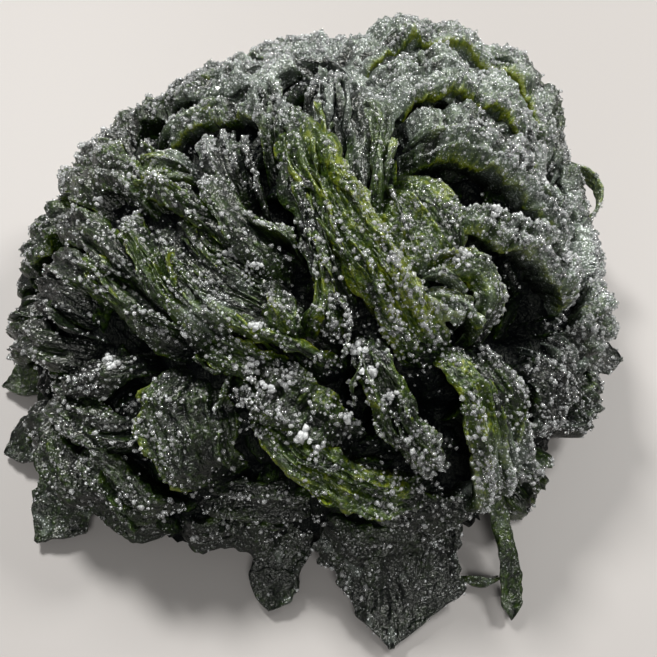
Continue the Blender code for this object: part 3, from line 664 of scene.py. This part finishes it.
def frond_patch(frond, seed, cell, salted=1.0):
    """A frond's fine surface: pleated back, rolled edges and a keel inside the heap."""
    grid = frond_grid(frond, seed, cell)
    if frond.grain == "along":
        grits, sides, tall = PLEATS, (grid.spread, grid.travel), PLEAT_HEIGHT
    else:
        grits, sides = FRILLS, (grid.travel, grid.spread)
        tall = PLEAT_HEIGHT if cell[0] > COARSE_CELL else FRILL_HEIGHT
    coarse, fine = (folds(grit, *sides, seed) for grit in grits)
    places = over_dome(grid.points, frond_heights(frond, grid, coarse, fine, tall))
    places[..., 2] = np.maximum(places[..., 2], FLOOR_GAP)
    return Patch(places, *frond_looks(frond, grid, coarse, salted), grain_at(*sides, seed))


def leaf_patch(leaf, seed):
    """A thin wavy sheet from inside the heap down to the floor and out to its tip."""
    root, tip = np.array(leaf.root, float), np.array(leaf.tip, float)
    length = np.linalg.norm(tip - root)
    stations, strips = round(length / LEAF_CELL), max(STRIPS, round(leaf.width / LEAF_CELL))
    along, across = np.meshgrid(np.linspace(0, 1, stations), np.linspace(-1, 1, strips), indexing="ij")
    side = np.array((*left_of(tip - root), 0))
    side /= np.linalg.norm(side)

    near = LEAF_NECK + LEAF_SWELL * np.sin(math.pi / 2 * np.minimum(along / leaf.widest, 1))
    past = np.maximum(along - leaf.widest, 0) / (1 - leaf.widest)
    far = np.maximum(1 - past ** (BLUNTNESS - leaf.point), LEAF_END)
    half = leaf.width / 2 * np.where(along < leaf.widest, near, far)
    travel = along * length
    for grit, swing in LEAF_EDGES:
        half *= 1 + swing * edge_noise(grit, travel, np.sign(across), seed)
    spread = across * half
    places = root + (tip - root) * along[..., None] + side * spread[..., None]
    places += side * (leaf.bow * 4 * along * (1 - along))[..., None]

    wave = 1 + np.sin(WAVE_ALONG * along + WAVE_ACROSS * across) * (1 - WAVE_FADE * along)
    relief = sum(height * folds(grit, spread, travel, seed) for grit, height in LEAF_PLEATS)
    relief += crumple(LEAF_CRUMPLES, spread, travel, seed)
    places[..., 2] = tip[2] + (root[2] - tip[2]) * (1 - along) ** LEAF_DROOP
    places[..., 2] += LEAF_WAVE * wave + relief - LEAF_DROP
    low, high = places.copy(), places
    low[..., 2] = np.maximum(low[..., 2] - LEAF_THICK / 2, FLOOR_GAP)
    high[..., 2] = np.maximum(high[..., 2] + LEAF_THICK / 2, LEAF_TOP_GAP)

    spread, travel = round_sheet(spread, spread), round_sheet(travel, travel)
    tone = leaf.tone + crumple(LEAF_PATCHES, spread, travel, seed)
    frost = FROST_LEAST + FROST_GAIN * (mottle(LEAF_FROST, spread, travel, seed) + 0.5) ** 2
    grain = grain_at(spread * LEAF_GRAIN[0], travel * LEAF_GRAIN[1], seed)
    return Patch(round_sheet(high, low), np.clip(tone, 0, 1), frost, grain)


def curl_patch():
    """The narrow strip at the right, an upright band bent round an arc."""
    first, last = (math.radians(angle) for angle in CURL_TURN)
    angles, strips = np.linspace(first, last, CURL_STEPS), np.linspace(-1, 1, CURL_STRIPS)
    angle, across = np.meshgrid(angles, strips, indexing="ij")
    loose = (last - angle) / (last - first)
    bumps = value_noise(angle * BUMP_STEPS[0], across * BUMP_STEPS[1], BUMP_SEED)
    radius = CURL_RADIUS * (1 + OPENING * loose**4) + CURL_BUMP * bumps
    out = np.stack((SLIMNESS * np.cos(angle), np.sin(angle), 0 * angle), axis=-1)
    half = np.interp(1 - loose, (0, 0.5), CURL_WIDTH) / 2
    upright = np.stack((0 * angle, 0 * angle, half * across - DROOP * loose**2), axis=-1)
    sides = (radius - CURL_THICK / 2, radius + CURL_THICK / 2)
    rings = round_sheet(*(CURL_CENTRE + out * side[..., None] + upright for side in sides))
    spread, travel = rings[..., 2], round_sheet(angle, angle) * CURL_RADIUS
    tone, frost = np.full_like(spread, CURL_TONE), np.full_like(spread, CURL_FROST)
    return Patch(rings, tone, frost, grain_at(spread, travel))


def core_patch():
    """The crumpled mass below the fronds, toned near-black and mostly bare of frost: painted shade in the
    hollows.
    """
    polar, bearing = np.meshgrid(
        np.linspace(CORE_FIRST, 1, CORE_RINGS), np.linspace(0, math.tau, CORE_POINTS, endpoint=False),
        indexing="ij",
    )
    spots = np.stack((GIRTH * polar * np.cos(bearing), GIRTH * polar * np.sin(bearing)), axis=-1)
    a, b = spots[..., 0], spots[..., 1]
    pleats = folds(CORE_PLEATS, a + CORE_SLANT * b, b - CORE_SLANT * a)
    height = CORE_LIFT + CORE_HEIGHT * pleats + crumple(CORE_CRUMPLES, a, b)
    places = over_dome(spots, height - gathered_at(HOLLOWS, spots))
    places[..., 2] = np.maximum(places[..., 2], CORE_GAP)
    # painted shade: the core is toned near-black and mostly bare of frost
    frost = CORE_FROST * (pleats * frost_at(spots)) - CORE_BARE
    return Patch(places, CORE_SHADE_TONE * pleats - CORE_SHADE_TONE, frost, grain_at(a, b))


# ---- fronds that chance lays ----


def back_fronds(chance):
    """Fronds that hang down the far side, in rows, each turned a little by chance."""
    fronds = []
    for row in BACK_ROWS:
        for i in range(row.count):
            share = (i + chance.uniform(*BACK_PLACE)) / row.count
            bearing = row.first + (row.last - row.first) * share
            turned = chance.uniform(-BACK_SLANT, BACK_SLANT)
            if bearing < ROUND_TO:
                turned = 90 + ROUND_SLANT * turned
            middle = row.distance * toward(math.radians(bearing))
            half = chance.uniform(*BACK_LENGTH) / 2 * toward(math.radians(bearing + turned))
            widths = tapered(chance.uniform(*BACK_WIDTH), BACK_TAPER)
            lift = row.lift + chance.uniform(0, BACK_RISE)
            lift -= NOTCH_DEEP * math.exp(-(((bearing - NOTCH_AT) / NOTCH_WIDE) ** 2))
            lobes = chance.choice(BACK_LOBES)
            step, depth = TONE_STEPS
            patchy = float(value_noise(i * step, row.distance / depth, TONE_SEED))
            tone = BACK_TONE + TONE_SWING * patchy
            grain = "across" if bearing < ROUND_TO else "along"
            fronds.append(
                Frond(middle - half, middle, middle + half, widths, lift, BACK_CROWN, tone, 0, lobes, grain)
            )
    return fronds


def filler_fronds(chance):
    """Small fronds that fill the hollows between the shown ones, toned dark and given the duller leaf as
    painted shade.
    """
    fronds = []
    reach = np.arange(-FILLER_REACH, FILLER_REACH + 1, FILLER_SPACING)
    for b in reach[reach < FILLER_BACK]:
        for a in reach:
            middle = np.array((a, b)) + np.array([chance.uniform(-FILLER_STRAY, FILLER_STRAY) for _ in "ab"])
            points = bent_line(FILLER, middle, toward(chance.uniform(0, math.pi)), chance)
            sunk = FILLER_SUNK * float(gathered_at(HOLLOWS, middle))
            frond = small_frond(FILLER, points, -sunk, 0, chance)
            if np.hypot(*middle) <= FILLER_REACH:
                fronds.append(frond)
    return fronds


def rib_fronds(chance):
    """Ribs side by side along each of the ribbed fronds, a little proud of its back."""
    ribs = []
    for frond, count in RIBBED:
        for i in range(count):
            across = RIB_SPAN * (i + chance.uniform(*RIB_STRAY)) / count - RIB_SPAN / 2
            first, last = chance.uniform(*RIB_START), chance.uniform(*RIB_END)
            along = np.array((first, (first + last) / 2, last))
            place, left = curve_of(frond, along)
            points = place + left * (across / 2 * widths_of(frond, along))[:, None]
            lift = frond.lift + frond.tilt * across + frond.crown * crowned_at(frond, across)
            ribs.append(small_frond(RIB, points, lift, frond.tone, chance))
    return ribs


def shred_fronds(fronds, chance):
    """Thin strips that lie over the fronds, each along one of them."""
    shreds = []
    for _ in range(SHRED_COUNT):
        frond = chance.choice(fronds)
        place, left = curve_of(frond, np.array([chance.uniform(*SHRED_PLACE)]))
        right = -left_of(left[0])
        turn = toward(math.radians(chance.gauss(0, SHRED_TURN)))
        ahead = right[0] * turn + right[1] * left_of(turn)
        middle = place[0] + left[0] * chance.uniform(*SHRED_OFFSET) * frond.widths[1]
        points = bent_line(SHRED, middle, ahead, chance)
        lift = frond.lift + frond.crown * SHRED_HEIGHT
        shreds.append(small_frond(SHRED, points, lift, frond.tone, chance))
    return shreds


# ---- meshes ----


def mesh_from(name, places, faces):
    """A mesh from vertices in mm and faces that all have the same number of corners."""
    mesh = bpy.data.meshes.new(name)
    mesh.vertices.add(len(places))
    mesh.vertices.foreach_set("co", (places * MM).astype(np.float32).ravel())
    mesh.loops.add(faces.size)
    mesh.loops.foreach_set("vertex_index", faces.astype(np.int32).ravel())
    mesh.polygons.add(len(faces))
    mesh.polygons.foreach_set("loop_start", np.arange(0, faces.size, faces.shape[1], dtype=np.int32))
    mesh.update(calc_edges=True)
    return mesh


def add_layer(mesh, label, values):
    """A number or a vector at every vertex, for the materials."""
    kind, field = ("FLOAT", "value") if values.ndim == 1 else ("FLOAT_VECTOR", "vector")
    layer = mesh.attributes.new(label, kind, "POINT")
    layer.data.foreach_set(field, values.astype(np.float32).ravel())


def close_ends(mesh):
    """Fill the open end rings, which lie inside the heap, and turn all faces outwards."""
    shape = bmesh.new()
    shape.from_mesh(mesh)
    bmesh.ops.holes_fill(shape, edges=[edge for edge in shape.edges if edge.is_boundary], sides=0)
    bmesh.ops.recalc_face_normals(shape, faces=shape.faces)
    shape.to_mesh(mesh)
    shape.free()


def make_piece(name, mesh, material):
    """One object of the heap, which stands in for the node's plain surface."""
    mesh.materials.append(material)
    piece = bpy.data.objects.new(name, mesh)
    bpy.context.scene.collection.objects.link(piece)
    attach(piece, BODY)
    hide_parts(NODE)
    return piece


def leaf_piece(name, patches, material):
    """One piece from many patches, with their looks as mesh attributes."""
    starts = np.cumsum([0] + [len(p.places) for p in patches])
    quads = np.concatenate([p.quads + start for p, start in zip(patches, starts)])
    mesh = mesh_from(name, np.concatenate([p.places for p in patches]), quads)
    for label in ("tone", "frost", "grain"):
        add_layer(mesh, label, np.concatenate([getattr(p, label) for p in patches]))
    close_ends(mesh)
    mesh.shade_smooth()
    return make_piece(name, mesh, material)


# ---- salt ----


def unit_grain(chance, kind):
    """Vertices and triangles of one irregular crystal of radius 1."""
    shape = bmesh.new()
    if kind == "chip":
        bmesh.ops.create_cone(shape, segments=4, radius1=1, radius2=0, depth=1, cap_ends=True)
        bmesh.ops.triangulate(shape, faces=shape.faces)
    else:
        bmesh.ops.create_icosphere(shape, subdivisions=1, radius=1)
    for vert in shape.verts:
        vert.co *= chance.uniform(*CORNER_RADII)
    shape.verts.ensure_lookup_table()
    places = np.array([vert.co[:] for vert in shape.verts])
    faces = np.array([[vert.index for vert in face.verts] for face in shape.faces])
    shape.free()
    return places, faces


def shallowest_hit(tree, starts, away, tops, upright):
    """Of the places where a few rays meet the leaf, the least deep: its depth, place and normal."""
    best = None
    for start, down, top, up in zip(starts, -away, tops, upright):
        hit, normal, _, _ = tree.ray_cast(Vector(start), Vector(down))
        if hit is None or hit.z < SALT_FLOOR * MM:
            continue
        sunk = float((top - np.array(hit) / MM) @ up)
        if best is None or sunk < best[0]:
            best = (sunk, hit, normal)
    return best


def scatter(tree, count, radii, clumping, seed):
    """Where grains lie: more where salt gathers, and on crests and edges rather than in furrows."""
    rng = np.random.default_rng(seed)
    spots, sizes = [], []
    while len(spots) < count:
        reach = GIRTH * SALT_REACH * np.sqrt(rng.random(BATCH))
        bearing = math.tau * rng.random(BATCH)
        points = np.stack((reach * np.cos(bearing), reach * np.sin(bearing)), axis=-1)
        kept = rng.random(BATCH) < crystals_at(points) ** clumping
        points = points[kept][:, None] + rng.normal(0, TRY_SPREAD, (kept.sum(), TRIES, 2))
        upright, tops = dome_normal(points), over_dome(points, SALT_LEVEL)
        away = upright + rng.normal(0, FALL_SPREAD, upright.shape) + FALL_SLOPE
        away /= np.linalg.norm(away, axis=-1, keepdims=True)
        starts = (tops + FALL_START * away) * MM
        dice = rng.random((len(points), 2))
        for i in range(min(len(points), count - len(spots))):
            best = shallowest_hit(tree, starts[i], away[i], tops[i], upright[i])
            if best is None or dice[i, 0] < best[0] / FURROW_DEPTH - FURROW_GRACE:
                continue
            size = radii[0] + (radii[1] - radii[0]) * dice[i, 1] ** SIZE_POWER
            spots.append(np.array(best[1]) / MM + np.array(best[2]) * size * SALT_RISE)
            sizes.append(size)
    return np.array(spots), np.array(sizes)


def clump_spots(tree):
    """Grains set close together and over each other for each of the largest clumps."""
    rng = np.random.default_rng(CLUMP_SEED)
    spots, sizes = [], []
    for a, b, radius in CLUMPS:
        for _ in range(CLUMP_GRAINS):
            point = np.array((a, b), float) + rng.normal(0, radius * CLUMP_SPREAD, 2)
            start = over_dome(point, CLUMP_START) * MM
            hit, normal, _, _ = tree.ray_cast(Vector(start), Vector(-dome_normal(point)))
            sizes.append(radius * rng.uniform(*CLUMP_SIZE))
            spots.append(np.array(hit) / MM + np.array(normal) * rng.uniform(*CLUMP_HEIGHT) * radius)
    return np.array(spots), np.array(sizes)


def salt_piece(name, kind, spots, sizes, clouds, seed, material):
    """One piece of loose grains: a few unit shapes, turned and scaled at every spot."""
    chance = random.Random(seed)
    rng = np.random.default_rng(seed + 1)
    shapes = [unit_grain(chance, kind) for _ in range(SALT_SHAPES)]
    places, faces, clouded, start = [], [], [], 0
    for i, (spot, size) in enumerate(zip(spots, sizes)):
        unit, triangles = shapes[i % len(shapes)]
        axis = rng.normal(size=3)
        turn = np.array(Matrix.Rotation(rng.random() * math.tau, 3, Vector(axis)))
        stretch = size * rng.uniform(*SALT_STRETCH, 3)
        places.append((unit * stretch) @ turn.T + spot)
        faces.append(triangles + start)
        clouded.append(np.full(len(unit), rng.uniform(*clouds)))
        start += len(unit)
    mesh = mesh_from(name, np.concatenate(places), np.concatenate(faces))
    add_layer(mesh, "cloud", np.concatenate(clouded))
    if kind == "chip":
        mesh.shade_flat()
    else:
        mesh.shade_smooth()
    return make_piece(name, mesh, material)


# ---- materials ----


class Looks:
    """A new material, and the nodes that are put before its shader."""

    def __init__(self, name):
        self.material = bpy.data.materials.new(name)
        self.material.use_nodes = True
        self.tree = self.material.node_tree
        self.shader = self.tree.nodes["Principled BSDF"]

    def give(self, node, inputs):
        """Set or link some of a node's inputs."""
        for name, value in inputs.items():
            if isinstance(value, bpy.types.NodeSocket):
                self.tree.links.new(value, node.inputs[name])
            else:
                node.inputs[name].default_value = value

    def node(self, kind, output, inputs, **settings):
        """An output of a new node."""
        node = self.tree.nodes.new("ShaderNode" + kind)
        for name, value in settings.items():
            setattr(node, name, value)
        self.give(node, inputs)
        return node.outputs[output]

    def attribute(self, name, output="Fac"):
        return self.node("Attribute", output, {}, attribute_name=name)

    def math(self, operation, *values):
        return self.node("Math", 0, dict(enumerate(values)), operation=operation)

    def mapped(self, value, given, wanted):
        """A value brought from one range to another."""
        ends = dict(zip(("From Min", "From Max", "To Min", "To Max"), (*given, *wanted)))
        return self.node("MapRange", "Result", {"Value": value, **ends})

    def noise(self, vector, scale, detail):
        return self.node("TexNoise", "Fac", {"Vector": vector, "Scale": scale, "Detail": detail})

    def specks(self, place, frost, scale, least, gain):
        """Height above 0 where a fine grain of salt, or a painted glint, lies; more and larger ones in more
        frost.
        """
        cells = self.node("TexVoronoi", "Color", {"Vector": place, "Scale": scale})
        chance = self.node("SeparateColor", 0, {"Color": cells})
        more = self.math("MULTIPLY_ADD", frost, gain, least)
        radius = self.math("MULTIPLY_ADD", chance, SPECK_SPREAD, more)
        return self.math("SUBTRACT", radius, cells.node.outputs["Distance"])

    def covered(self, under, over, share):
        """A colour with another laid over a share of it."""
        inputs = {MIX_SHARE: share, MIX_UNDER: under, MIX_OVER: (*over, 1)}
        return self.node("Mix", MIX_RESULT, inputs, data_type="RGBA")

    def bump(self, height, distance, **below):
        """A normal that follows a height, over the Normal below it if there is one."""
        return self.node("Bump", "Normal", {"Height": height, "Distance": distance, **below})


def wakame_material(name, specular, wet):
    """Leaf, from blue-black over green to yellow-green, with fine grains of salt and painted glints all over.
    """
    looks = Looks(name)
    tone, frost, grain = looks.attribute("tone"), looks.attribute("frost"), looks.attribute("grain", "Vector")
    place = looks.node("NewGeometry", "Position", {})
    stretched = looks.node("Mapping", "Vector", {"Vector": grain, "Scale": FIBRE_STRETCH})
    fibres, mottled = looks.noise(stretched, *FIBRES), looks.noise(place, *MOTTLE)
    crumpled = looks.noise(place, *CRUMPLED)

    shade = looks.math("MULTIPLY_ADD", fibres, FIBRE_TONE, tone)
    shade = looks.math("MULTIPLY_ADD", crumpled, CRUMPLE_TONE, shade)
    colour = looks.node("ValToRGB", "Color", {"Fac": looks.math("SUBTRACT", shade, TONE_MIDDLE)})
    stops = colour.node.color_ramp.elements
    while len(stops) < len(LEAF_COLOURS):
        stops.new(0.5)
    for stop, (spot, shown) in zip(stops, LEAF_COLOURS):
        stop.position = spot
        stop.color = (*shown, 1)

    # the specks are fine salt and, in part, painted glints of the wet leaf
    coarse, fine = (looks.specks(place, frost, *kind) for kind in (COARSE_SPECKS, FINE_SPECKS))
    speckled = looks.mapped(looks.math("MAXIMUM", coarse, fine), SPECK_RIM, SPECK_SHARE)
    colour = looks.covered(colour, HAZE_COLOUR, looks.mapped(frost, HAZE_FROST, HAZE_SHARE))
    colour = looks.covered(colour, SALT_AND_GLINT_COLOUR, speckled)

    normal = looks.bump(crumpled, CRUMPLE_BUMP, Normal=looks.bump(fibres, FIBRE_BUMP))
    normal = looks.bump(looks.math("MAXIMUM", coarse, 0), SPECK_BUMP, Normal=normal)
    looks.give(looks.shader, {
        "Base Color": colour, "Roughness": looks.mapped(mottled, (0, 1), (0.28, 0.6)), "Normal": normal,
        "Specular IOR Level": specular, "Specular Tint": (0.85, 0.9, 0.75, 1),
        "Coat Weight": wet, "Coat Roughness": 0.06, "Coat Normal": normal,
    })
    return looks.material


def salt_material():
    """Glassy, slightly frosted crystals."""
    looks = Looks("salt_crystal")
    cloud = looks.attribute("cloud")
    looks.give(looks.shader, {
        "Base Color": (0.9, 0.92, 0.92, 1), "IOR": 1.5,
        "Roughness": looks.mapped(cloud, (0, 1), (0.03, 0.35)),
        "Transmission Weight": looks.mapped(cloud, (0, 1), (1, 0.35)),
    })
    return looks.material


# ---- stage ----


def make_floor():
    bpy.ops.mesh.primitive_plane_add(size=6)
    floor = bpy.context.object
    floor.name = "floor"
    looks = Looks("pale_floor")
    looks.give(looks.shader, {"Base Color": (0.262, 0.25, 0.24, 1), "Roughness": 0.6})
    floor.data.materials.append(looks.material)


def make_lights():
    world = bpy.data.worlds.new("studio")
    bpy.context.scene.world = world
    world.use_nodes = True
    background = world.node_tree.nodes["Background"]
    background.inputs["Color"].default_value = (1, 0.99, 0.975, 1)
    background.inputs["Strength"].default_value = 0.26
    for light in LIGHTS:
        data = bpy.data.lights.new(light.name, "AREA")
        data.shape = "DISK"
        data.size, data.energy, data.color = light.size, light.energy, light.colour
        lamp = bpy.data.objects.new(light.name, data)
        lamp.location = light.place
        lamp.rotation_euler = (Vector(LIGHT_AIM) - Vector(light.place)).to_track_quat("-Z", "Y").to_euler()
        bpy.context.scene.collection.objects.link(lamp)


def make_camera():
    data = bpy.data.cameras.new("camera")
    data.angle = math.radians(CAMERA_ANGLE)
    data.clip_start = 0.005
    camera = bpy.data.objects.new("camera", data)
    rise = math.radians(CAMERA_RISE)
    back = Vector((0, -math.cos(rise), math.sin(rise)))
    turn = (-back).to_track_quat("-Z", "Y").to_matrix()
    turn = turn @ Matrix.Rotation(math.radians(CAMERA_ROLL), 3, "Z")
    camera.matrix_world = turn.to_4x4()
    camera.location = Vector(CAMERA_TARGET * MM) + back * CAMERA_DISTANCE * MM
    bpy.context.scene.collection.objects.link(camera)
    bpy.context.scene.camera = camera


# ---- the heap ----


def patches_of(fronds, seed, cell, salted=1.0):
    """A patch of every frond, each with noise of its own."""
    return [frond_patch(frond, seed + i, cell, salted) for i, frond in enumerate(fronds)]


def make_leaves():
    """All the pieces that are leaf."""
    # the deep leaf is a shaded copy of the leaf, with less shine, for the fronds in the hollows: painted
    # shade
    leaf, deep = wakame_material("wakame_leaf", *LEAF_SHINE), wakame_material("wakame_deep_shade", *DEEP_SHADE_SHINE)
    chance = random.Random(SEED)
    layers, shown = [], []
    for name, fronds in SHOWN:
        cell = FOOT_CELL if fronds is FOOT else SHOWN_CELL
        layers.append((name, patches_of(fronds, SHOWN_NOISE + len(shown), cell), leaf))
        shown += fronds
    hanging = back_fronds(chance)
    single = [leaf_patch(Leaf(*row), LEAF_NOISE + i) for i, row in enumerate(LEAVES)]
    layers += [
        ("back_fronds", patches_of([*hanging, *BEHIND], BACK_NOISE, BACK_CELL), leaf),
        ("single_leaves", [*single, curl_patch()], leaf),
        ("shreds", patches_of(shred_fronds(shown + hanging, chance), SHRED_NOISE, SHRED_CELL), leaf),
        ("ribs", patches_of(rib_fronds(random.Random(RIB_SEED)), RIB_NOISE, SHRED_CELL), leaf),
        ("filler_fronds", patches_of(filler_fronds(chance), FILLER_NOISE, FILLER_CELL, FILLER_SALT), deep),
        ("core_fronds", [core_patch()], deep),
    ]
    return [leaf_piece(*layer) for layer in layers]


def surface_tree(pieces):
    """One search tree over all the pieces' faces, for rays."""
    places, faces = [], []
    for piece in pieces:
        start = len(places)
        places += [vert.co[:] for vert in piece.data.vertices]
        piece.data.calc_loop_triangles()
        faces += [[start + corner for corner in face.vertices] for face in piece.data.loop_triangles]
    return BVHTree.FromPolygons(places, faces)


def make_salt(pieces):
    """All the loose salt that lies on the leaf pieces."""
    material = salt_material()
    tree = surface_tree(pieces)
    salt_piece("salt_clumps", "crystal", *clump_spots(tree), CLUMP_CLOUDS, GRAIN_SEED, material)
    for salt in SALT_LAYERS:
        spots, sizes = scatter(tree, salt.count, salt.radii, salt.clumping, salt.seed)
        salt_piece(salt.name, salt.kind, spots, sizes, salt.clouds, salt.seed, material)


bpy.context.scene.view_settings.view_transform = "Standard"

make_salt(make_leaves())
make_floor()
make_lights()
make_camera()
